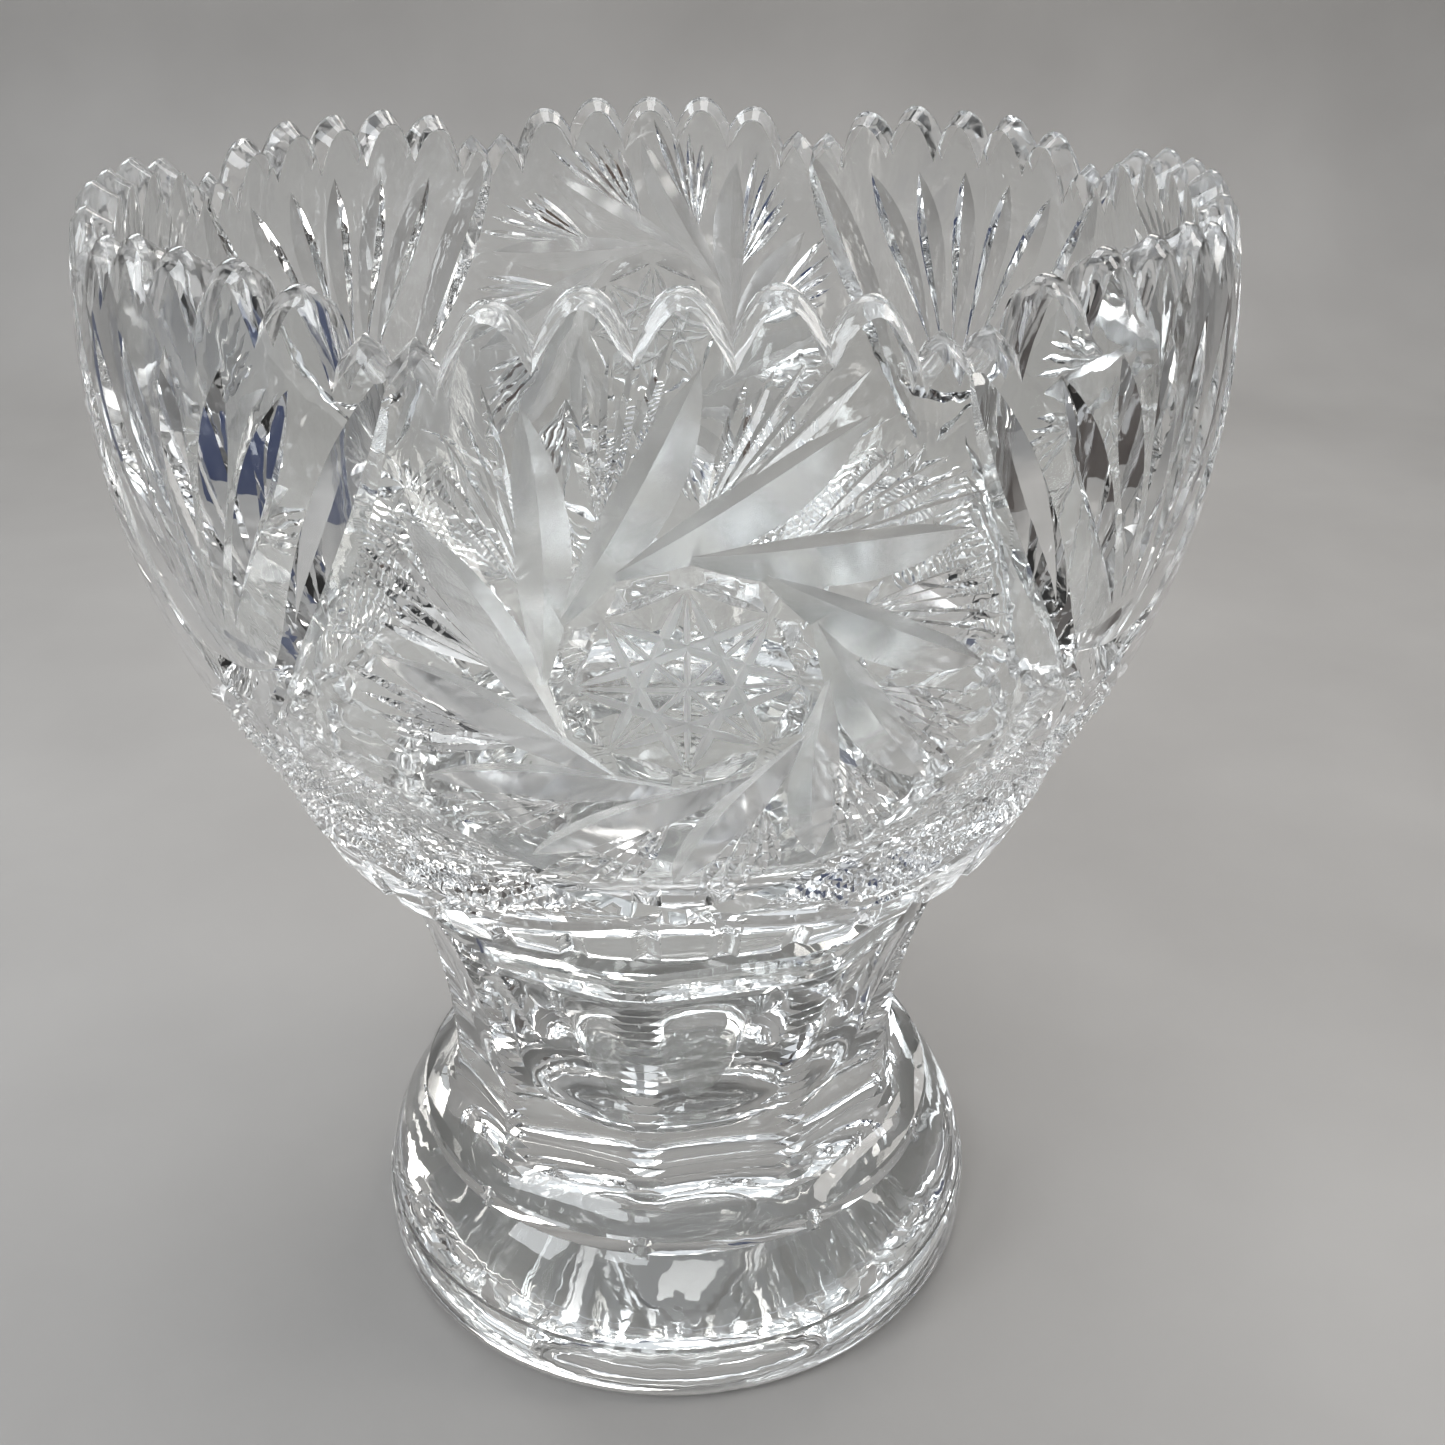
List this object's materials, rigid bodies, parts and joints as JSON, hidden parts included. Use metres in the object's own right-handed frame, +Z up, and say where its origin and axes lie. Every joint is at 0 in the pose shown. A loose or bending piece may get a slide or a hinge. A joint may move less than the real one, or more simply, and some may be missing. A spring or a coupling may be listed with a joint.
{
  "type": "punch bowl",
  "caption": "Two-piece cut-crystal punch bowl: a deep round bowl with a scalloped, toothed rim and pinwheel cutting, standing in the socket of a fluted pedestal with a round foot.",
  "frame": {"origin": "centre of the round foot, in the plane of the table", "axes": "+Z up along the axis of the bowl and the stand; -Y faces the middle of one pinwheel medallion; +X to the right as seen from that side"},
  "size_m": [0.259, 0.259, 0.301],
  "materials": {
    "stand_crystal": "polished clear lead crystal",
    "bowl_crystal": "deep-cut clear lead crystal, polished, with satin-grey pinwheel blades"
  },
  "bodies": {
    "stand": {"stand": "stand_crystal"},
    "bowl": {"bowl": "bowl_crystal"}
  },
  "joints": [
    {"name": "bowl_lift", "type": "slide", "parent": "stand", "child": "bowl", "axis": [0, 0, 1], "range_m": [0, 0.1]}
  ]
}
